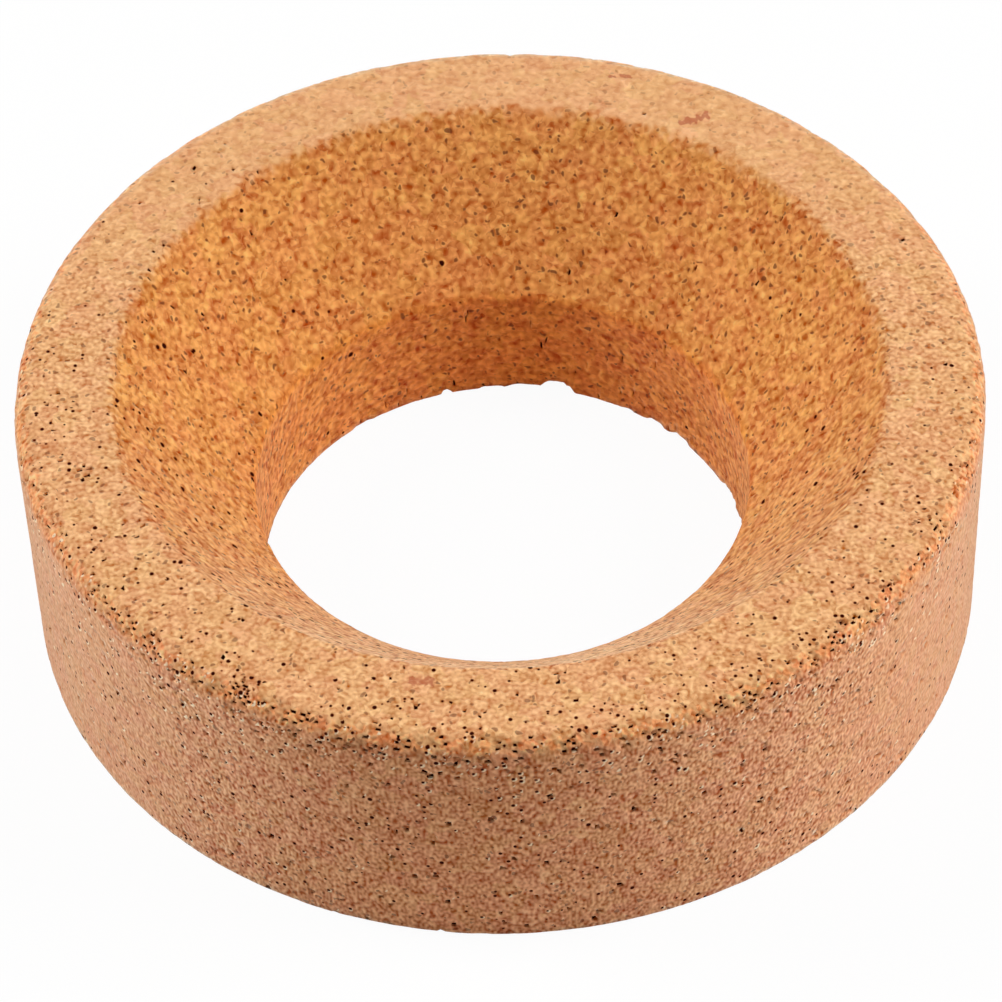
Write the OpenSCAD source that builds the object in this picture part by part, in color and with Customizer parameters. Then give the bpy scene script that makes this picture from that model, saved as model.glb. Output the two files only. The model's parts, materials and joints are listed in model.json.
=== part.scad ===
// Cork ring: a thick ring of bonded cork granules that stands a round-bottomed flask on a bench.
// It is turned from one block, so it is one revolved section: a flat base, a straight outer wall,
// a rounded rim edge, a flat rim, a conical seat for the flask and a straight throat below it.
// Millimetres, +Z up, origin at the centre of the base.

/* [Ring] */
// Diameter of the straight outer wall
outer_d = 110; // [96:1:180]
// Height from the base to the flat rim
ring_h = 32.5; // [24:0.5:60]

/* [Seat and throat] */
// Diameter of the opening where the seat meets the flat rim
opening_d = 88; // [66:1:102]
// Diameter of the straight throat below the seat
throat_d = 57; // [20:1:80]
// Height above the base at which the seat's cone reaches the throat
throat_h = 15.5; // [4:0.5:28]

/* [Edges] */
// Radius of the rounded outer edge of the rim
rim_round = 2.5; // [0.5:0.5:8]
// Radius that blends the seat into the throat
throat_round = 1.5; // [0.5:0.5:8]
// Bevel at the rim's inner edge, where the seat was cut
opening_break = 0.3; // [0.1:0.1:1.5]
// Bevel at the lower edge of the throat
throat_break = 0.3; // [0.1:0.1:1.5]
// Bevel at the lower edge of the outer wall
base_break = 0.3; // [0.1:0.1:1.5]

/* [Hidden] */
$fn = 180;

outer_r = outer_d / 2;
opening_r = opening_d / 2;
throat_r = throat_d / 2;

// The seat is a straight cone from the edge of the opening down to the top of the throat.
seat_drop = ring_h - throat_h;
seat_run = opening_r - throat_r;
seat_angle = atan2(seat_drop, seat_run);
seat_dir = [cos(seat_angle), sin(seat_angle)];
seat_inward = [sin(seat_angle), -cos(seat_angle)];

// Distance from the seat's lower corner to the points where its blend touches the throat and the seat.
blend_reach = throat_round * tan((90 - seat_angle) / 2);
throat_corner = [throat_r, throat_h];
opening_corner = [opening_r, ring_h];
// A hair's breadth that sinks the seat's lower end into the blend's circle, so no sliver is left there.
eps = 0.001;

// Half of the ring's section, to the right of the axis: x is the radius, y is the height.
// The two rounded corners are cut across here, and their circles fill them out to true arcs.
function section_points() = [
    [throat_r + throat_break, 0],
    [outer_r - base_break, 0],
    [outer_r, base_break],
    [outer_r, ring_h - rim_round],
    [outer_r - rim_round, ring_h],
    opening_corner + [opening_break, 0],
    opening_corner - opening_break * seat_dir,
    throat_corner + blend_reach * seat_dir + eps * seat_inward,
    throat_corner - [0, blend_reach],
    [throat_r, throat_break]
];

module section() {
    polygon(section_points());
    translate([outer_r - rim_round, ring_h - rim_round]) circle(r = rim_round);
    translate([throat_r + throat_round, throat_h - blend_reach]) circle(r = throat_round);
}

// The whole ring, one turned piece
module cork_ring() {
    color("#d9a36f") rotate_extrude() section();
}

cork_ring();
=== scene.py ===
import bpy
import bmesh
import json
import math
import random
from mathutils import Matrix, Vector, noise


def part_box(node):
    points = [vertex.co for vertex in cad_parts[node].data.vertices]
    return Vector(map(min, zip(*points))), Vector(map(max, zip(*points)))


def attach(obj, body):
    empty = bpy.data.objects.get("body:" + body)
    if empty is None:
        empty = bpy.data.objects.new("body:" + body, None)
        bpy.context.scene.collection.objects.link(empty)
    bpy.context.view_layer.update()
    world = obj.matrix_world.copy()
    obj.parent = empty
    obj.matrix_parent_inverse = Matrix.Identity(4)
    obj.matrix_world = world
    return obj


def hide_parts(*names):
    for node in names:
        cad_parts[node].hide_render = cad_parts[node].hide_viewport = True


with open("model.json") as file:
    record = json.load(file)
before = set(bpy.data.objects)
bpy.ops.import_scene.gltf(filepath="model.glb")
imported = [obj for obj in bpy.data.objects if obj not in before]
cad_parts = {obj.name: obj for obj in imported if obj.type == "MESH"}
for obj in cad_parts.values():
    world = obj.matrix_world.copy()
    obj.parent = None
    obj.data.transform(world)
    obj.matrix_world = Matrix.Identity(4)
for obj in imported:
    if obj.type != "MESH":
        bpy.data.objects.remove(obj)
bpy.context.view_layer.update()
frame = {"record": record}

mm = 0.001
tiny = 1e-6                   # m, closer than this counts as touching
scene = bpy.context.scene
scene.view_settings.view_transform = "Standard"


def linear(hexColour):
    # sRGB hex to the linear values that the shader sockets take
    channels = [int(hexColour[i:i + 2], 16) / 255 for i in (1, 3, 5)]
    return [c / 12.92 if c <= 0.04045 else ((c + 0.055) / 1.055) ** 2.4 for c in channels] + [1.0]


def addNode(tree, kind, settings=None, inputs=None):
    # one node with its settings, and its inputs set or linked; a node as an input stands for its first output
    node = tree.nodes.new(kind)
    for name, value in (settings or {}).items():
        setattr(node, name, value)
    for name, value in (inputs or {}).items():
        if isinstance(value, bpy.types.Node):
            value = value.outputs[0]
        if isinstance(value, bpy.types.NodeSocket):
            tree.links.new(value, node.inputs[name])
        else:
            node.inputs[name].default_value = value
    return node


cameraView = {
    "distance": 541.6,        # mm from the centre of the base
    "elevation": 48.302,      # degrees above the bench
    "aim": (-0.2936, 0.0, 10.821),    # mm
    "roll": -2.116,           # degrees, the bench tips down to the right
    "lens": 164.56,           # mm
    "sensor": 36.0,           # mm
}


def addCamera():
    tilt = math.radians(cameraView["elevation"])
    place = Vector((0, -math.cos(tilt), math.sin(tilt))) * cameraView["distance"] * mm
    aim = Vector(cameraView["aim"]) * mm
    data = bpy.data.cameras.new("benchCamera")
    data.sensor_width = cameraView["sensor"]
    data.lens = cameraView["lens"]
    camera = bpy.data.objects.new("benchCamera", data)
    scene.collection.objects.link(camera)
    turn = (aim - place).to_track_quat("-Z", "Y").to_matrix().to_4x4()
    roll = Matrix.Rotation(math.radians(cameraView["roll"]), 4, "Z")
    camera.matrix_world = Matrix.Translation(place) @ turn @ roll
    scene.camera = camera


addCamera()
print("camera set")


studioLight = {
    "aim": (0.0, 0.0, 0.01),  # m, low in the ring
    "worldLevel": 0.01,
    "lamps": {
        # name: place in m, disc width in m, power in W
        "leftHigh": ((-0.68, 0.15, 0.65), 0.40, 3.8),
        "rightHigh": ((0.70, 0.0, 0.65), 0.50, 5.05),
        "leftLow": ((-0.83, 0.18, 0.30), 0.40, 2.85),
        "rightLow": ((0.85, 0.0, 0.30), 0.50, 2.55),
        "overhead": ((0.0, -0.12, 0.90), 0.90, 1.6),
    },
}


def addLamps():
    for name, (place, width, power) in studioLight["lamps"].items():
        data = bpy.data.lights.new(name, "AREA")
        data.shape = "DISK"
        data.size = width
        data.energy = power
        lamp = bpy.data.objects.new(name, data)
        scene.collection.objects.link(lamp)
        lamp.location = place
        way = Vector(studioLight["aim"]) - Vector(place)
        lamp.rotation_euler = way.to_track_quat("-Z", "Y").to_euler()


def seenByCamera(tree):
    # 1 for what the camera sees, straight, mirrored or through glass, and 0 for the light that reaches the ring
    path = addNode(tree, "ShaderNodeLightPath")
    seen = path.outputs["Is Camera Ray"]
    for ray in ("Is Glossy Ray", "Is Transmission Ray"):
        seen = addNode(tree, "ShaderNodeMath", {"operation": "MAXIMUM"}, {0: seen, 1: path.outputs[ray]})
    return seen


def addWorld():
    world = bpy.data.worlds.new("paleStudio")
    scene.world = world
    world.use_nodes = True
    tree = world.node_tree
    tree.nodes.clear()
    level = addNode(tree, "ShaderNodeMapRange", None,
                    {"Value": seenByCamera(tree), "To Min": studioLight["worldLevel"], "To Max": 1.0})
    glow = addNode(tree, "ShaderNodeBackground", None, {"Color": (1, 1, 1, 1), "Strength": level})
    addNode(tree, "ShaderNodeOutputWorld", None, {"Surface": glow})


studioFloor = {
    "size": 6.0,              # m
    "colour": "#F4F4F2",
    "roughness": 0.9,
    "seenWhite": 0.95,        # share of plain white in what the camera sees, the rest keeps the shadow
}


def mattWhiteBench():
    # matt white board: an even pale ground with a faint soft shadow of the ring
    material = bpy.data.materials.new("mattWhiteBench")
    material.use_nodes = True
    tree = material.node_tree
    tree.nodes.clear()
    share = addNode(tree, "ShaderNodeMath", {"operation": "MULTIPLY"},
                    {0: seenByCamera(tree), 1: studioFloor["seenWhite"]})
    board = addNode(tree, "ShaderNodeBsdfPrincipled", None,
                    {"Base Color": linear(studioFloor["colour"]), "Roughness": studioFloor["roughness"]})
    white = addNode(tree, "ShaderNodeEmission", None, {"Color": (1, 1, 1, 1), "Strength": 1.0})
    seen = addNode(tree, "ShaderNodeMixShader", None, {0: share, 1: board, 2: white})
    addNode(tree, "ShaderNodeOutputMaterial", None, {"Surface": seen})
    return material


def addFloor():
    bm = bmesh.new()
    bmesh.ops.create_grid(bm, x_segments=1, y_segments=1, size=studioFloor["size"] / 2)
    mesh = bpy.data.meshes.new("benchFloor")
    bm.to_mesh(mesh)
    bm.free()
    floor = bpy.data.objects.new("benchFloor", mesh)
    scene.collection.objects.link(floor)
    mesh.materials.append(mattWhiteBench())


addLamps()
addWorld()
addFloor()
print("studio lit")


corkLook = {
    # the places of the ring
    "rimColour": "#E6A866",       # flat rim, sanded
    "edgeColour": "#F5A25C",      # rounded rim edge, worn
    "wallColour": "#DF955A",
    "seatColour": "#E39646",      # turned, and deeper in colour
    "throatColour": "#E28E38",
    # what stands out in them
    "spotColour": "#6E3517",      # dark crumbs of bark
    "barkColour": "#B85F3C",      # long slivers of bark
    "paleColour": "#F8B884",      # large pale granules
    "pitShadeColour": "#2E0600",      # painted shade deep in a torn pit
    "pitShadeEdgeColour": "#8C3200",  # painted shade round a torn pit
    "fleckHighlightColour": "#FFE2BC",     # painted highlight on the lit side beside a pit, partly paler raw cork
    # the darkest and the palest cork, as a share of the place's colour; the blue runs out first
    "darkTint": (0.56, 0.24, -0.35, 1.0),
    "paleTint": (1.44, 1.78, 2.50, 1.0),
    "hues": (0.494, 0.503),       # granules run from pinkish to yellowish, 0.5 is no change
    # sizes in mm
    "granule": 2.3,               # large bonded granules
    "crumb": 0.55,                # finer crumbs are too small to show, so they are drawn coarser
    "softMottle": 0.80,           # in the turned seat
    "fineMottle": 0.50,           # on the sanded rim
    "wallMottle": 0.44,
    "wallStretch": (1.15, 1.15, 0.8),     # the wall's mottling is a little taller than wide
    "wallSpread": (1.5, -0.15),   # and stronger: times the first, plus the second
    "bendSize": 0.9,              # bends in the outlines of granules and crumbs
    "bendReach": 0.8,
    "edgeWander": 1.6,            # how far the seat's edge in the rim wanders
    "baseSkin": 0.2,              # the base has the rim's colour up to this height
    "bump": 0.12,
    "wallBump": -0.6,             # change of it on the wall, as a share
    # how much each part of the grain adds to the tone
    "granuleTone": 0.12,
    "crumbTone": (0.42, 0.17),    # inside and on the rim, then on the wall
    "mottleTone": 1.28,
    "toneShift": -0.91,           # brings the middle tone to 0
    "softShare": (0.25, 0.75),    # share of soft mottling in front, then inside and at the back
    "calming": 0.6,               # how much less the tones vary where the ring is calm
    "middleShade": 0.5,           # half way between the two tints
    "pitShadeTone": -0.4,             # painted shade: the cork is darker in and beside a pit, and in chips
    # the cork pales where it is seen at a low angle
    "fuzz": 0.52,
    "fuzzSpread": (0.4, 1.6),     # on dark, then on pale cork
    "fuzzTint": (0.85, 1.0, 0.84, 1.0),
    "fuzzRoughness": 0.45,
    "throatCover": 0.25,          # less of it in the throat
    # the bare surface
    "roughness": 0.85,
    "specular": 0.05,             # air-filled cells give almost no shine
}
ringZones = {
    # name: what is measured, the two mm values between which it passes, then what it is before and after them
    "inside": ("bentRadius", 43.8, 45.5, 1.0, 0.0),      # seat and throat
    "throat": ("radius", 28.5, 29.4, 1.0, 0.0),
    "outer": ("radius", 54.2, 54.9, 0.0, 1.0),           # outer wall
    "worn": ("corner", 86.2, 86.45, 0.0, 1.0),           # middle of the rounded rim edge
    "back": ("depth", 5.0, 45.0, 0.36, 1.0),             # calm back of the rim
    "sides": ("depth", -53.0, -30.0, 0.0, 1.0),          # calm sides of the wall
    "sheenFront": ("depth", -30.0, 5.0, 0.28, 0.0),           # paler front of the seat: painted sheen, as the seat pales when seen at a low angle
    "likely": ("front", -32.0, 38.0, 0.0, 0.40),         # chance of a speck
    "nearEdge": ("corner", 80.0, 87.5, 0.9, 2.8),        # times this near the rounded edge
    "highlightShare": ("corner", 72.0, 86.0, 0.2, 1.0),        # share of specks with a painted highlight as a pale fleck
}
corkSpecks = {
    # the smallest voids, as painted shade: dark specks with no hollow under them
    "gap": 0.8,                   # mm between the places where a speck may be
    "reach": 0.33,                # radius as a share of the gap
    "border": (0.6, 1.3),         # a speck fades between these shares of its reach
    "sizes": 0.9,                 # how much the sizes vary
    "insideShare": 0.66,          # fewer in the seat and throat
    "grouping": (0.3, 0.1, 1.2),  # share of granules with almost none, then the least and the most
    "wornSide": (-0.22, -0.97, 0.0),      # the way to the worn front of the ring
    "fleckLitSide": (0.8, -0.2, -0.55),      # a fleck, a painted highlight, lies on this lit side of its speck
    "fleckEdge": (0.04, 0.16),    # mm from the speck's middle, over which the fleck starts
    "fleckReach": (1.7, 2.3),     # a fleck fades between these shares of the reach
    # crumbs and granules that stand out
    "spotShare": 0.07,            # share of crumbs that are dark bark
    "spotEdge": (0.36, 0.56),     # fades between these distances from a crumb's middle, as shares of a crumb
    "spotStrength": 0.8,
    "barkEdge": (0.3, 0.6),       # in the mark layer, which holds 1 for bark and -1 for pale cork
    "barkStrength": 0.75,
    "paleEdge": (-0.75, -0.4),
    "paleStrength": 0.6,
    "markBend": -0.5,             # marks follow the grain's tone at their edges
    # torn pits
    "tornEdge": (0.85, 1.05),     # in the layer of torn cork and painted shade, which holds 1 in a pit
    "tornBend": 0.8,              # raggedness of a pit's outline
    "shadeSpread": 1.8,               # how fast a pit's painted shade covers the cork
}
smoothStep = {"interpolation_type": "SMOOTHSTEP"}
colourMix = {"data_type": "RGBA"}


def corkGrain(tree, point):
    # granules and crumbs with crooked outlines, and the mottling of each place
    bend = addNode(tree, "ShaderNodeTexNoise", None,
                   {"Vector": point, "Scale": 1 / corkLook["bendSize"], "Detail": 0.0})
    bend = addNode(tree, "ShaderNodeVectorMath", {"operation": "SUBTRACT"},
                   {0: bend.outputs["Color"], 1: (0.5, 0.5, 0.5)})
    bent = addNode(tree, "ShaderNodeVectorMath", {"operation": "MULTIPLY_ADD"},
                   {0: bend, 1: [corkLook["bendReach"]] * 3, 2: point})
    tall = addNode(tree, "ShaderNodeVectorMath", {"operation": "MULTIPLY"},
                   {0: point, 1: corkLook["wallStretch"]})
    grain = {}
    for name in ("granule", "crumb"):
        grain[name] = addNode(tree, "ShaderNodeTexVoronoi", {"feature": "F1"},
                              {"Vector": bent, "Scale": 1 / corkLook[name]})
        grain[name + "Draw"] = addNode(tree, "ShaderNodeSeparateColor", None,
                                       {"Color": grain[name].outputs["Color"]})
    for name, place in (("soft", point), ("fine", point), ("wall", tall)):
        grain[name] = addNode(tree, "ShaderNodeTexNoise", None,
                              {"Vector": place, "Scale": 1 / corkLook[name + "Mottle"], "Detail": 0.0})
    return grain


def zoneNodes(tree, point, grain):
    # how much each point of the surface belongs to each zone of the ring
    parts = addNode(tree, "ShaderNodeSeparateXYZ", None, {"Vector": point})
    flat = addNode(tree, "ShaderNodeVectorMath", {"operation": "MULTIPLY"}, {0: point, 1: (1, 1, 0)})
    radius = addNode(tree, "ShaderNodeVectorMath", {"operation": "LENGTH"}, {0: flat}).outputs["Value"]
    bentRadius = addNode(tree, "ShaderNodeMath", {"operation": "MULTIPLY_ADD"},
                         {0: grain["soft"], 1: corkLook["edgeWander"], 2: radius})
    # radius and height together are largest along the rounded rim edge
    corner = addNode(tree, "ShaderNodeMath", {"operation": "ADD"}, {0: radius, 1: parts.outputs["Z"]})
    corner = addNode(tree, "ShaderNodeMath", {"operation": "ADD"}, {0: corner, 1: grain["soft"]})
    front = addNode(tree, "ShaderNodeVectorMath", {"operation": "DOT_PRODUCT"},
                    {0: point, 1: corkSpecks["wornSide"]}).outputs["Value"]
    measures = {"radius": radius, "bentRadius": bentRadius, "corner": corner,
                "depth": parts.outputs["Y"], "front": front}
    zones = {}
    for name, (measure, start, end, before, after) in ringZones.items():
        zones[name] = addNode(tree, "ShaderNodeMapRange", smoothStep,
                              {"Value": measures[measure], "From Min": start, "From Max": end,
                               "To Min": before, "To Max": after})
    offBase = addNode(tree, "ShaderNodeMath", {"operation": "GREATER_THAN"},
                      {0: parts.outputs["Z"], 1: corkLook["baseSkin"]})
    zones["inside"] = addNode(tree, "ShaderNodeMath", {"operation": "MULTIPLY"},
                              {0: zones["inside"], 1: offBase})

    # the back of the rim and the sides of the wall are calm, up to the worn edge
    backRim = addNode(tree, "ShaderNodeMath", {"operation": "SUBTRACT"},
                      {0: zones["back"], 1: zones["inside"]})
    sideWall = addNode(tree, "ShaderNodeMath", {"operation": "MULTIPLY"},
                       {0: zones["outer"], 1: zones["sides"]})
    calm = addNode(tree, "ShaderNodeMath", {"operation": "MAXIMUM"}, {0: backRim, 1: sideWall})
    calm = addNode(tree, "ShaderNodeMath", {"operation": "SUBTRACT", "use_clamp": True},
                   {0: calm, 1: zones["worn"]})
    zones["contrast"] = addNode(tree, "ShaderNodeMath", {"operation": "MULTIPLY_ADD"},
                                {0: calm, 1: -corkLook["calming"], 2: 1.0})
    return zones


def corkTone(tree, grain, zones):
    # tone about 0, from dark to pale: softer mottling inside and at the back, finer on the wall
    softLow, softHigh = corkLook["softShare"]
    softness = addNode(tree, "ShaderNodeMath", {"operation": "MAXIMUM"},
                       {0: zones["inside"], 1: zones["back"]})
    softness = addNode(tree, "ShaderNodeMapRange", None,
                       {"Value": softness, "From Min": ringZones["back"][3],
                        "To Min": softLow, "To Max": softHigh})
    mottle = addNode(tree, "ShaderNodeMix", {"data_type": "FLOAT"},
                     {0: softness, 2: grain["fine"], 3: grain["soft"]})
    times, plus = corkLook["wallSpread"]
    wallMottle = addNode(tree, "ShaderNodeMath", {"operation": "MULTIPLY_ADD"},
                         {0: grain["wall"], 1: times, 2: plus})
    mottle = addNode(tree, "ShaderNodeMix", {"data_type": "FLOAT"},
                     {0: zones["outer"], 2: mottle, 3: wallMottle})
    ringCrumb, wallCrumb = corkLook["crumbTone"]
    crumbTone = addNode(tree, "ShaderNodeMapRange", None,
                        {"Value": zones["outer"], "To Min": ringCrumb, "To Max": wallCrumb})
    tone = addNode(tree, "ShaderNodeMath", {"operation": "MULTIPLY_ADD"},
                   {0: grain["granuleDraw"], 1: corkLook["granuleTone"], 2: corkLook["toneShift"]})
    for part, share in ((grain["crumbDraw"], crumbTone), (mottle, corkLook["mottleTone"])):
        tone = addNode(tree, "ShaderNodeMath", {"operation": "MULTIPLY_ADD"},
                       {0: part, 1: share, 2: tone})
    return tone


def placeColour(tree, grain, zones, shade):
    # the turned seat and throat are deeper in colour than the sanded rim, and the rounded edge is browner
    # the seat's front is paled towards the rim's colour: painted sheen
    seat = addNode(tree, "ShaderNodeMix", colourMix,
                   {0: zones["sheenFront"], 6: linear(corkLook["seatColour"]), 7: linear(corkLook["rimColour"])})
    turned = addNode(tree, "ShaderNodeMix", colourMix,
                     {0: zones["throat"], 6: seat.outputs[2], 7: linear(corkLook["throatColour"])})
    place = addNode(tree, "ShaderNodeMix", colourMix,
                    {0: zones["outer"], 6: linear(corkLook["rimColour"]), 7: linear(corkLook["wallColour"])})
    place = addNode(tree, "ShaderNodeMix", colourMix,
                    {0: zones["worn"], 6: place.outputs[2], 7: linear(corkLook["edgeColour"])})
    place = addNode(tree, "ShaderNodeMix", colourMix,
                    {0: zones["inside"], 6: place.outputs[2], 7: turned.outputs[2]})
    tint = addNode(tree, "ShaderNodeMix", colourMix,
                   {0: shade, 6: corkLook["darkTint"], 7: corkLook["paleTint"]})
    colour = addNode(tree, "ShaderNodeMix",
                     {"data_type": "RGBA", "blend_type": "MULTIPLY", "clamp_result": True},
                     {0: 1.0, 6: place.outputs[2], 7: tint.outputs[2]})
    pinkish, yellowish = corkLook["hues"]
    hue = addNode(tree, "ShaderNodeMapRange", None,
                  {"Value": grain["granuleDraw"].outputs["Green"], "To Min": pinkish, "To Max": yellowish})
    return addNode(tree, "ShaderNodeHueSaturation", None, {"Hue": hue, "Color": colour.outputs[2]}).outputs[0]


def addOddGranules(tree, colour, grain, zones, tone):
    # dark crumbs of bark, spread all over
    barkCrumb = addNode(tree, "ShaderNodeMath", {"operation": "GREATER_THAN"},
                        {0: grain["crumbDraw"].outputs["Blue"], 1: 1 - corkSpecks["spotShare"]})
    spotFrom, spotTo = corkSpecks["spotEdge"]
    spot = addNode(tree, "ShaderNodeMapRange", smoothStep,
                   {"Value": grain["crumb"], "From Min": spotFrom, "From Max": spotTo,
                    "To Min": corkSpecks["spotStrength"], "To Max": 0.0})
    for share in (barkCrumb, zones["contrast"]):
        spot = addNode(tree, "ShaderNodeMath", {"operation": "MULTIPLY"}, {0: spot, 1: share})

    # single marked granules: slivers of bark, and large pale ones
    mark = addNode(tree, "ShaderNodeAttribute", {"attribute_name": "mark"})
    mark = addNode(tree, "ShaderNodeMath", {"operation": "MULTIPLY_ADD"},
                   {0: tone, 1: corkSpecks["markBend"], 2: mark.outputs["Fac"]})
    barkFrom, barkTo = corkSpecks["barkEdge"]
    bark = addNode(tree, "ShaderNodeMapRange", smoothStep,
                   {"Value": mark, "From Min": barkFrom, "From Max": barkTo,
                    "To Max": corkSpecks["barkStrength"]})
    paleFrom, paleTo = corkSpecks["paleEdge"]
    pale = addNode(tree, "ShaderNodeMapRange", smoothStep,
                   {"Value": mark, "From Min": paleFrom, "From Max": paleTo,
                    "To Min": corkSpecks["paleStrength"], "To Max": 0.0})
    for share, name in ((spot, "spotColour"), (bark, "barkColour"), (pale, "paleColour")):
        mixed = addNode(tree, "ShaderNodeMix", colourMix, {0: share, 6: colour, 7: linear(corkLook[name])})
        colour = mixed.outputs[2]
    return colour


def speckNodes(tree, point, grain, zones):
    # the smallest voids as painted shade: dark specks with no hollow under them, closest on the worn front of
    # the ring, some with a painted highlight beside them as a pale fleck
    drawFrom, least, most = corkSpecks["grouping"]
    grouped = addNode(tree, "ShaderNodeMapRange", None,
                      {"Value": grain["granuleDraw"].outputs["Blue"], "From Min": drawFrom,
                       "To Min": least, "To Max": most})
    shrink = addNode(tree, "ShaderNodeMapRange", None,
                     {"Value": zones["inside"], "To Min": 1.0, "To Max": corkSpecks["insideShare"]})
    likely = zones["likely"]
    for share in (zones["nearEdge"], grouped, shrink):
        likely = addNode(tree, "ShaderNodeMath", {"operation": "MULTIPLY"}, {0: likely, 1: share})
    voids = addNode(tree, "ShaderNodeTexVoronoi", {"feature": "F1"},
                    {"Vector": point, "Scale": 1 / corkSpecks["gap"]})
    draws = addNode(tree, "ShaderNodeSeparateColor", None, {"Color": voids.outputs["Color"]})
    drawn = addNode(tree, "ShaderNodeMath", {"operation": "ADD"}, {0: likely, 1: draws})
    drawn = addNode(tree, "ShaderNodeMath", {"operation": "GREATER_THAN"}, {0: drawn, 1: 1.0})
    # a speck is small where the distance from its middle is stretched
    stretch = addNode(tree, "ShaderNodeMath", {"operation": "MULTIPLY_ADD"},
                      {0: draws.outputs["Green"], 1: corkSpecks["sizes"], 2: shrink})
    away = addNode(tree, "ShaderNodeMath", {"operation": "MULTIPLY"}, {0: voids, 1: stretch})
    reach = corkSpecks["reach"]
    near, far = corkSpecks["border"]
    speck = addNode(tree, "ShaderNodeMapRange", smoothStep,
                    {"Value": away, "From Min": reach * near, "From Max": reach * far,
                     "To Min": 1.0, "To Max": 0.0})
    speck = addNode(tree, "ShaderNodeMath", {"operation": "MULTIPLY"}, {0: drawn, 1: speck})

    # flecks of painted highlight lie along the rounded edge and on the wall
    beside = addNode(tree, "ShaderNodeVectorMath", {"operation": "SUBTRACT"},
                     {0: point, 1: voids.outputs["Position"]})
    beside = addNode(tree, "ShaderNodeVectorMath", {"operation": "DOT_PRODUCT"},
                     {0: beside, 1: corkSpecks["fleckLitSide"]})
    fleckFrom, fleckTo = corkSpecks["fleckEdge"]
    fleckHighlight = addNode(tree, "ShaderNodeMapRange", smoothStep,
                    {"Value": beside.outputs["Value"], "From Min": fleckFrom, "From Max": fleckTo})
    near, far = corkSpecks["fleckReach"]
    close = addNode(tree, "ShaderNodeMapRange", smoothStep,
                    {"Value": away, "From Min": reach * near, "From Max": reach * far,
                     "To Min": 1.0, "To Max": 0.0})
    outside = addNode(tree, "ShaderNodeMath", {"operation": "MAXIMUM"},
                      {0: zones["outer"], 1: zones["worn"]})
    withHighlight = addNode(tree, "ShaderNodeMath", {"operation": "LESS_THAN"},
                  {0: draws.outputs["Blue"], 1: zones["highlightShare"]})
    for share in (close, drawn, outside, withHighlight):
        fleckHighlight = addNode(tree, "ShaderNodeMath", {"operation": "MULTIPLY"}, {0: fleckHighlight, 1: share})
    return speck, fleckHighlight


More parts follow.
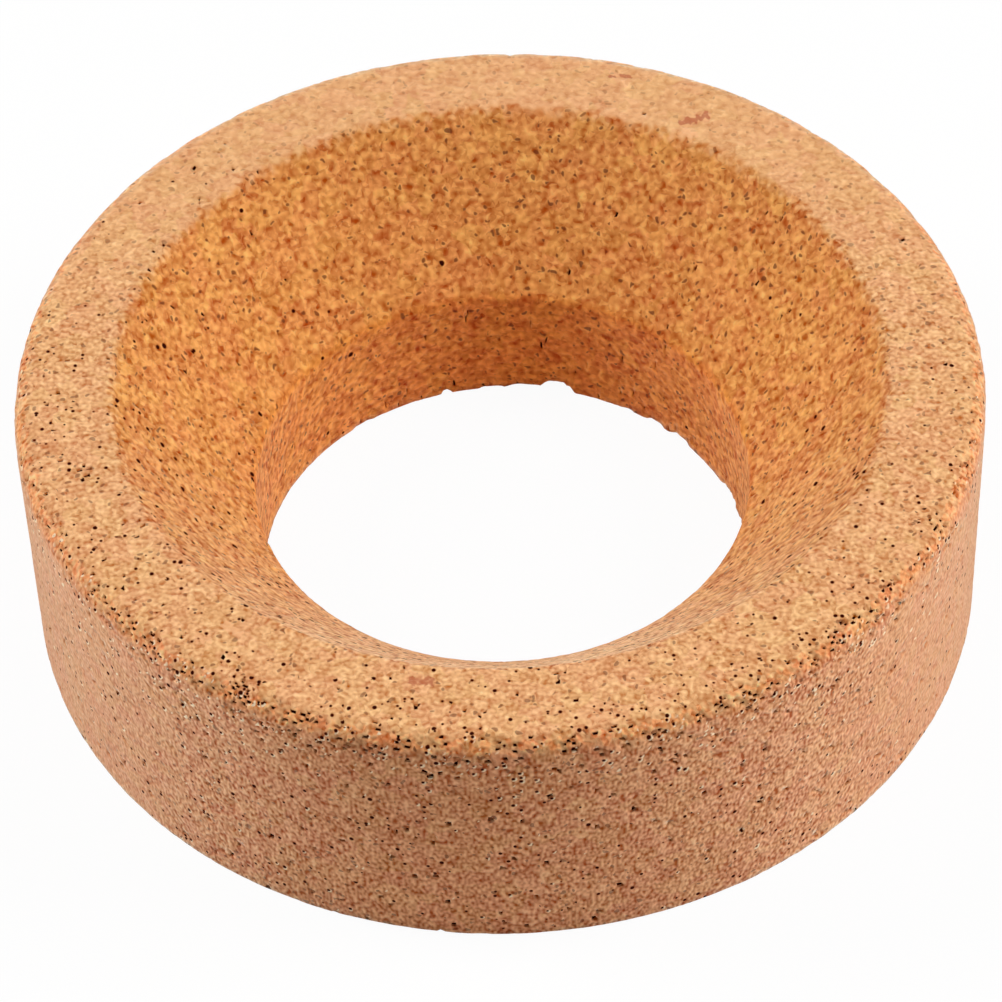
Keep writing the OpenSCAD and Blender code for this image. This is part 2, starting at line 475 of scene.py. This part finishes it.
def bondedCork():
    # agglomerated cork: ground granules pressed with a binder, then turned and sanded.
    # Gives the eye a warm, quite matt, mottled surface, paler where it is seen at a low angle.
    material = bpy.data.materials.new("bondedCork")
    material.use_nodes = True
    tree = material.node_tree
    tree.nodes.clear()
    coords = addNode(tree, "ShaderNodeTexCoord")
    point = addNode(tree, "ShaderNodeMapping", None,
                    {"Vector": coords.outputs["Object"], "Scale": [1 / mm] * 3})
    grain = corkGrain(tree, point)
    zones = zoneNodes(tree, point, grain)
    tone = corkTone(tree, grain, zones)
    tornShade = addNode(tree, "ShaderNodeAttribute", {"attribute_name": "tornShade"}).outputs["Fac"]
    shade = addNode(tree, "ShaderNodeMath", {"operation": "MULTIPLY_ADD"},
                    {0: tone, 1: zones["contrast"], 2: corkLook["middleShade"]})
    shade = addNode(tree, "ShaderNodeMath", {"operation": "MULTIPLY_ADD"},
                    {0: tornShade, 1: corkLook["pitShadeTone"], 2: shade})
    colour = placeColour(tree, grain, zones, shade)
    colour = addOddGranules(tree, colour, grain, zones, tone)
    speck, fleckHighlight = speckNodes(tree, point, grain, zones)
    # painted highlight: a pale fleck on the lit side of some specks
    colour = addNode(tree, "ShaderNodeMix", colourMix,
                     {0: fleckHighlight, 6: colour, 7: linear(corkLook["fleckHighlightColour"])})

    # torn pits are dark inside, with ragged outlines: the real shade of their depth, plus painted shade in
    # their colour; the specks get painted shade only
    ragged = addNode(tree, "ShaderNodeMath", {"operation": "MULTIPLY_ADD"},
                     {0: grain["fine"], 1: corkSpecks["tornBend"], 2: tornShade})
    tornFrom, tornTo = corkSpecks["tornEdge"]
    pit = addNode(tree, "ShaderNodeMapRange", smoothStep,
                  {"Value": ragged, "From Min": tornFrom, "From Max": tornTo})
    dark = addNode(tree, "ShaderNodeMath", {"operation": "MAXIMUM"}, {0: pit, 1: speck})
    paintedPitShade = addNode(tree, "ShaderNodeMix", colourMix,
                     {0: dark, 6: linear(corkLook["pitShadeEdgeColour"]), 7: linear(corkLook["pitShadeColour"])})
    covered = addNode(tree, "ShaderNodeMath", {"operation": "MULTIPLY", "use_clamp": True},
                      {0: dark, 1: corkSpecks["shadeSpread"]})
    colour = addNode(tree, "ShaderNodeMix", colourMix,
                     {0: covered, 6: colour.outputs[2], 7: paintedPitShade.outputs[2]})

    # pale crumbs stand up, less so on the wall and more on the worn edge
    more = addNode(tree, "ShaderNodeMath", {"operation": "MULTIPLY_ADD"},
                   {0: zones["outer"], 1: corkLook["wallBump"], 2: zones["worn"]})
    height = addNode(tree, "ShaderNodeMath", {"operation": "MULTIPLY_ADD"}, {0: tone, 1: more, 2: tone})
    bump = addNode(tree, "ShaderNodeBump", None,
                   {"Height": height, "Distance": corkLook["bump"] * mm, "Strength": 1.0})

    # no paling in pits, and less of it in the throat and at the front of the seat, where painted sheen in the
    # colour stands in for it
    darkFuzz, paleFuzz = corkLook["fuzzSpread"]
    fuzz = addNode(tree, "ShaderNodeMapRange", None,
                   {"Value": shade, "To Min": darkFuzz * corkLook["fuzz"],
                    "To Max": paleFuzz * corkLook["fuzz"]})
    sheenFrontSeat = addNode(tree, "ShaderNodeMath", {"operation": "MULTIPLY"},
                        {0: zones["sheenFront"], 1: zones["inside"]})
    bare = addNode(tree, "ShaderNodeMath", {"operation": "MULTIPLY_ADD"},
                   {0: zones["throat"], 1: corkLook["throatCover"], 2: sheenFrontSeat})
    clean = addNode(tree, "ShaderNodeMath", {"operation": "SUBTRACT"}, {0: 1.0, 1: covered})
    clean = addNode(tree, "ShaderNodeMath", {"operation": "SUBTRACT", "use_clamp": True},
                    {0: clean, 1: bare})
    fuzz = addNode(tree, "ShaderNodeMath", {"operation": "MULTIPLY"}, {0: fuzz, 1: clean})
    surface = addNode(tree, "ShaderNodeBsdfPrincipled", None,
                      {"Base Color": colour.outputs[2], "Roughness": corkLook["roughness"], "Normal": bump,
                       "Specular IOR Level": corkLook["specular"], "Sheen Weight": fuzz,
                       "Sheen Tint": corkLook["fuzzTint"], "Sheen Roughness": corkLook["fuzzRoughness"]})
    addNode(tree, "ShaderNodeOutputMaterial", None, {"Surface": surface})
    return material


ringSizes = {
    # the section, in mm; the outer size, the height and the throat come from the frame
    "openingR": 44.0,         # the seat's edge in the rim
    "throatTop": 15.5,        # where the seat meets the throat
    "rimRound": 2.5,
    "throatRound": 1.5,
    "edgeBreak": 0.3,
    # the grid
    "turnSteps": 600,
    "rowStep": 0.57,          # mm between rows on the rim and the outer wall
    "seatStep": 0.72,
    "throatStep": 0.95,
    "baseStep": 2.6,          # under the ring
    "fineBase": 31.0,         # mm from the axis, rows stay close up to here, so that the throat's edge can chip
    "rimSegments": 10,
    "throatSegments": 4,
    "shake": 0.3,             # each point may slide by this share of a step
    "seed": 11,
}
ringWear = {
    # relief of the granules, in mm
    "granule": 2.3,           # as in the cork's colour
    "outline": (0.14, 0.2),   # share of a granule that its groove and its edge take
    "sink": 0.06,             # how far some granules lie below the turned face
    "groove": 0.05,           # between granules
    "rough": 0.03,
    "roughSize": 0.8,
    "edgeBoost": 0.8,         # how much deeper the relief is on the rounded rim edge
    "edgeR": (52.6, 53.6),    # distance from the axis, over which that edge starts
    "edgeZ": (28.8, 30.2),    # and height
    "hollow": 0.30,           # depth of the largest torn hollows
    "hollowSize": 1.15,
    "hollowFrom": 0.60,       # noise level at which a hollow starts in calm cork
    "hollowMore": (0.28, 0.06),   # lower by this at the rounded edge, and at the front
    "hollowFull": 0.22,       # a hollow is full this far above its start
    # pits in the face by place: share of faces at the front, where the ring is most worn
    "pits": {"edge": 0.13, "rim": 0.012, "wall": 0.014, "seat": 0.014, "throat": 0.006, "base": 0.02},
    # the side of the ring with most pits, in degrees from +X
    "pitSide": {"edge": 262, "rim": 214, "wall": 268, "seat": 182, "throat": 62, "base": 0},
    # limits of those places in mm: distance from the axis, or height
    "edgePlace": (53.4, 29.6),    # both
    "rimPlace": 32.1,
    "wallPlace": 54.4,
    "basePlace": 0.25,
    # border and depth of each kind of pit, in mm
    "pitKinds": ((0.11, 0.5), (0.15, 0.6), (0.19, 0.7)),
    "pitShape": (0.6, 1.25),  # how far the corners of a pit's floor move in or out, as shares of its size
    "pitOutline": (1.8, 0.8),     # more along a granule's outline, fewer within it
    "flockSize": 2.4,         # mm, loose groups of pits
    "largestFace": 1e-6,      # m2, the larger faces under the ring stay whole
    # groups of pits: turn in degrees, distance from the axis, height, reach of the group in mm, share of faces
    "groups": ((338.8, 38.4, 26.4, 0.5, 1.0), (332.3, 53.7, 32.2, 1.3, 0.5), (195.7, 48.5, 32.5, 1.2, 0.5),
               (192.9, 50.8, 32.5, 0.6, 0.8), (198.5, 44.1, 32.5, 0.7, 0.7), (238.0, 53.8, 32.1, 1.4, 0.5),
               (257.5, 54.3, 31.7, 1.0, 0.4), (261.1, 55.0, 28.1, 1.3, 0.3), (288.7, 55.0, 26.0, 1.2, 0.3)),
    # granules that stand out, from (turn, distance from the axis) to the same at the other end, then height and
    # half width in mm, then 1 for bark down to -1 for pale cork
    "marks": ((60.4, 46.1, 57.9, 48.6, 32.5, 0.45, 1.0), (72.8, 50.9, 71.1, 51.6, 32.5, 0.4, 0.8),
              (257.5, 46.5, 259.0, 46.3, 32.5, 0.8, 0.6), (58.8, 44.9, 57.8, 44.9, 32.5, 0.9, -0.7),
              (24.9, 50.6, 24.0, 50.9, 32.5, 0.6, -0.8), (333.2, 46.6, 332.2, 45.8, 32.5, 0.7, -0.8),
              (331.6, 44.9, 330.8, 44.5, 32.5, 0.6, -0.8), (186.9, 49.8, 187.5, 49.6, 32.5, 0.6, -0.8),
              (229.6, 50.3, 229.2, 50.7, 32.5, 0.8, -0.9), (230.0, 47.4, 232.7, 47.5, 32.5, 0.5, -1.0),
              (287.3, 51.7, 287.6, 51.5, 32.5, 0.7, -0.9), (279.6, 52.1, 280.3, 52.3, 32.5, 0.6, -0.9),
              (282.9, 54.9, 284.6, 54.9, 30.7, 0.3, -1.0), (349.6, 47.6, 351.6, 47.9, 32.5, 1.0, -0.6)),
    # chips along the throat's lower edge: turn in degrees from +X, half width in degrees, height in mm
    "chips": ((19, 6, 1.1), (41, 5, 0.8), (49, 4, 0.7), (57, 3, 0.4), (76, 6, 1.7), (83, 8, 0.8), (92, 5, 0.5),
              (103, 2, 0.9), (126, 5, 0.5), (141, 4, 0.3), (205, 4, 0.6), (248, 5, 0.5), (300, 3, 0.7),
              (334, 6, 0.5)),
    "chipFlat": 0.25,         # share of a chip's half width with its full height
    "chipLean": 1.15,         # width of a chip along the base, as a share of its height
    "chipRough": (0.25, 0.4),     # raggedness as a share of height, and the height in mm with no chip
    "chipRoughSize": 1.1,     # mm
    "chipShade": (0.75, 0.2),  # painted shade given as torn cork: how dark the darker spots of a chip are, then the rest of it
    "chipShadeSize": 0.9,      # mm
}


def smooth(value, start, end):
    share = min(1.0, max(0.0, (value - start) / (end - start)))
    return share * share * (3 - 2 * share)


def around(turn, r, z):
    return Vector((r * math.cos(math.radians(turn)), r * math.sin(math.radians(turn)), z))


def placeOf(vert):
    # distance from the axis, and turn in radians
    return math.hypot(vert.co.x, vert.co.y), math.atan2(vert.co.y, vert.co.x)


def ringSection(bm, blank, throatR):
    # the turned section: its corners, then the rounded and broken edges, then even rows
    outerR, ringH = blank[1][0], blank[1][2]
    openingR, throatTop = ringSizes["openingR"] * mm, ringSizes["throatTop"] * mm
    fineBase = ringSizes["fineBase"] * mm
    places = [(throatR, 0), (fineBase, 0), (outerR, 0), (outerR, ringH), (openingR, ringH),
              (throatR, throatTop)]
    corners = [bm.verts.new((r, 0, z)) for r, z in places]
    for a, b in zip(corners, corners[1:] + corners[:1]):
        bm.edges.new((a, b))
    slope = math.atan2(ringH - throatTop, openingR - throatR)
    blend = ringSizes["throatRound"] * math.tan((math.pi / 2 - slope) / 2)
    edgeBreak = ringSizes["edgeBreak"]
    for corner, reach, segments in ((0, edgeBreak, 1), (2, edgeBreak, 1),
                                    (3, ringSizes["rimRound"], ringSizes["rimSegments"]), (4, edgeBreak, 1),
                                    (5, blend, ringSizes["throatSegments"])):
        bmesh.ops.bevel(bm, geom=[corners[corner]], offset=reach * mm, offset_type="OFFSET", segments=segments,
                        profile=0.5, affect="VERTICES", material=-1)
    for edge in list(bm.edges):
        ends = [v.co for v in edge.verts]
        if all(end.z < tiny and end.x > fineBase - tiny for end in ends):
            step = ringSizes["baseStep"]
        elif all(end.x < throatR + tiny and end.z < throatTop for end in ends):
            step = ringSizes["throatStep"]
        elif all(throatTop - tiny < end.z < ringH and end.x < openingR for end in ends):
            step = ringSizes["seatStep"]
        else:
            step = ringSizes["rowStep"]
        cuts = round(edge.calc_length() / (step * mm)) - 1
        if cuts > 0:
            bmesh.ops.subdivide_edges(bm, edges=[edge], cuts=cuts)


def turnRing(bm, draw):
    # where a row lies within a flat face, its points may slide along the face
    slide = bm.verts.layers.float_vector.new("slide")
    for vert in bm.verts:
        ways = [(e.other_vert(vert).co - vert.co) for e in vert.link_edges]
        if ways[0].normalized().dot(ways[1].normalized()) < -0.9999:      # the two point straight apart
            vert[slide] = ways[0] if ways[0].length < ways[1].length else ways[1]
    bmesh.ops.spin(bm, geom=list(bm.verts) + list(bm.edges), cent=(0, 0, 0), axis=(0, 0, 1), angle=2 * math.pi,
                   steps=ringSizes["turnSteps"], use_merge=True)
    bmesh.ops.recalc_face_normals(bm, faces=bm.faces)
    # spin leaves the faces in no fixed order, and the draws below need one
    bm.verts.index_update()
    order = {}
    for face in bm.faces:
        numbers = [v.index for v in face.verts]
        order[face] = min(numbers) * len(bm.verts) + max(numbers)
    bm.faces.sort(key=lambda face: order[face])
    print("ring turned,", len(bm.faces), "faces")

    # the grid is broken up, so that nothing on the cork follows rows
    stepTurn = 2 * math.pi / ringSizes["turnSteps"]
    shake = ringSizes["shake"]
    for vert in bm.verts:
        r, turn = placeOf(vert)
        along = draw.uniform(-shake, shake)
        turn += draw.uniform(-shake, shake) * stepTurn
        r += vert[slide].x * along
        vert.co = Vector((r * math.cos(turn), r * math.sin(turn), vert.co.z + vert[slide].z * along))
    bm.normal_update()


def chipRaise(turn):
    # height of the throat's lower edge above the bench at this turn, in mm
    raised = 0.0
    for middle, half, height in ringWear["chips"]:
        away = abs((turn - middle + 180) % 360 - 180)
        raised = max(raised, height * (1 - smooth(away, half * ringWear["chipFlat"], half)))
    return raised


def chipThroat(bm, throatR):
    # chips along the throat's lower edge lean back from the hole
    tornShade = bm.verts.layers.float.new("tornShade")
    rough, least = ringWear["chipRough"]
    deepShade, lightShade = ringWear["chipShade"]
    for vert in bm.verts:
        r, turn = placeOf(vert)
        high = chipRaise(math.degrees(turn))
        ragged = max(0.0, noise.noise(vert.co / mm / ringWear["chipRoughSize"]))
        high = (high + rough * ragged * (least + high)) * mm
        wide = high * ringWear["chipLean"]
        out, up = r - throatR, vert.co.z
        if high > tiny and out / wide + up / high < 1:
            share = (out * wide + (high - up) * high) / (wide * wide + high * high)
            share = min(1.0, max(0.0, share))
            r = throatR + wide * share
            vert.co = Vector((r * math.cos(turn), r * math.sin(turn), high * (1 - share)))
            # painted shade: dark spots in the part of the chip nearest the base, where it meets the bench
            spotted = noise.noise(vert.co / mm / ringWear["chipShadeSize"]) > 0.1
            vert[tornShade] = deepShade if spotted and share > 0.5 else lightShade


def markGranules(bm):
    # the cork's colour reads these marks
    mark = bm.verts.layers.float.new("mark")
    for turn, r, endTurn, endR, z, half, kind in ringWear["marks"]:
        start, end = around(turn, r, z), around(endTurn, endR, z)
        along = end - start
        for vert in bm.verts:
            place = vert.co / mm
            share = min(1.0, max(0.0, (place - start).dot(along) / along.length_squared))
            if (place - start - along * share).length < half:
                vert[mark] = kind


def sinkGranules(bm):
    # relief goes inwards only, from the turned face
    grooveShare, edgeShare = ringWear["outline"]
    moreOnEdge, moreInFront = ringWear["hollowMore"]
    otherNoise = Vector((31.0, 7.0, 3.0))     # so that hollows don't follow the roughness
    moves = []
    for vert in bm.verts:
        place = vert.co / mm
        r = math.hypot(place.x, place.y)
        onEdge = smooth(r, *ringWear["edgeR"]) * smooth(place.z, *ringWear["edgeZ"])
        front = 0.5 - 0.5 * math.sin(math.atan2(place.y, place.x))
        distances, cells = noise.voronoi(place / ringWear["granule"])
        lot = 0.5 + 0.5 * noise.cell(cells[0] * 9.7)      # one for each granule
        between = distances[1] - distances[0]
        depth = ringWear["sink"] * max(0.0, lot - 0.5) * 2 * smooth(between, 0.0, edgeShare)
        depth += ringWear["groove"] * (1 - smooth(between, 0.0, grooveShare))
        depth += ringWear["rough"] * (0.5 + 0.5 * noise.noise(place / ringWear["roughSize"]))
        depth *= 1 + ringWear["edgeBoost"] * onEdge
        bite = noise.noise(place / ringWear["hollowSize"] + otherNoise)
        start = ringWear["hollowFrom"] - moreOnEdge * onEdge * (0.3 + 0.7 * front) - moreInFront * front
        depth += ringWear["hollow"] * smooth(bite, start, start + ringWear["hollowFull"])
        moves.append((vert, vert.normal * -depth * mm))
    for vert, move in moves:
        vert.co += move


def pitPlace(place, r):
    # which place of the ring a face lies in
    edgeR, edgeZ = ringWear["edgePlace"]
    if r > edgeR and place.z > edgeZ:
        return "edge"
    if place.z > ringWear["rimPlace"]:
        return "rim"
    if r > ringWear["wallPlace"]:
        return "wall"
    if place.z < ringWear["basePlace"]:
        return "base"
    if place.z < ringSizes["throatTop"]:
        return "throat"
    return "seat"


def pitChance(place, clusters):
    # pits lie in loose groups, most of them along the granules' outlines
    where = pitPlace(place, math.hypot(place.x, place.y))
    away = math.atan2(place.y, place.x) - math.radians(ringWear["pitSide"][where])
    side = 0.5 + 0.5 * math.cos(away * 2 if where == "seat" else away)    # the seat is worn on two sides
    chance = ringWear["pits"][where] * (0.04 + 0.96 * smooth(side, 0.3, 0.9))
    if where == "wall":
        chance *= 0.8 + 0.9 * smooth(place.z, 26, 30)     # more below the rounded edge
    elif where == "throat":
        chance *= 1 + 3 * smooth(place.z, 3, 1)           # more along the lower edge
    otherNoise = Vector((5.0, 11.0, 2.0))
    flock = noise.noise(place / ringWear["flockSize"] + otherNoise)
    chance *= 0.3 + 2.2 * smooth(flock, 0.0, 0.3)
    distances = noise.voronoi(place / ringWear["granule"])[0]
    onOutline, within = ringWear["pitOutline"]
    chance *= onOutline if distances[1] - distances[0] < 0.16 else within
    for middle, reach, share in clusters:
        if (place - middle).length < reach:
            chance = share
    return chance


def tearPits(bm, draw):
    # pits where a crumb has broken out, never two side by side
    tornShade = bm.verts.layers.float["tornShade"]
    kinds = {kind: [] for kind in ringWear["pitKinds"]}
    clusters = [(around(turn, r, z), reach, share) for turn, r, z, reach, share in ringWear["groups"]]
    taken = set()
    for face in list(bm.faces):
        chance = pitChance(face.calc_center_median() / mm, clusters)
        near = {n for e in face.edges for n in e.link_faces}
        if draw.random() < chance and face.calc_area() < ringWear["largestFace"] and not taken & near:
            taken.add(face)
            kinds[draw.choice(list(kinds))].append(face)
    for (border, deep), faces in kinds.items():
        bmesh.ops.inset_individual(bm, faces=faces, thickness=border * mm, depth=-deep * mm,
                                   use_even_offset=True)
        for face in faces:
            middle = face.calc_center_median()
            for vert in sorted(face.verts, key=lambda v: v.co[:]):
                vert.co = middle + (vert.co - middle) * draw.uniform(*ringWear["pitShape"])
                # this layer puts painted shade on the pit's floor and walls
                vert[tornShade] = 1.0
    return len(taken)


def makeRing():
    draw = random.Random(ringSizes["seed"])
    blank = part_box("cork_ring")
    throat = [m for m in frame["record"]["mounts"] if m["name"] == "throat"][0]
    throatR = throat["dims"]["r_mm"] * mm
    bm = bmesh.new()
    ringSection(bm, blank, throatR)
    turnRing(bm, draw)
    chipThroat(bm, throatR)
    markGranules(bm)
    sinkGranules(bm)
    count = tearPits(bm, draw)
    # nothing stands proud of the turned blank
    for vert in bm.verts:
        vert.co = Vector([min(max(c, low), high) for c, low, high in zip(vert.co, *blank)])
    bmesh.ops.recalc_face_normals(bm, faces=bm.faces)
    for face in bm.faces:
        face.smooth = True
    print("ring worn,", count, "pits,", sum(len(f.verts) - 2 for f in bm.faces), "triangles")
    mesh = bpy.data.meshes.new("corkRing")
    bm.to_mesh(mesh)
    bm.free()
    piece = bpy.data.objects.new("corkRing", mesh)
    scene.collection.objects.link(piece)
    return piece


ring = makeRing()
ring.data.materials.append(bondedCork())
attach(ring, "root")
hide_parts("cork_ring")
print("cork ring done")
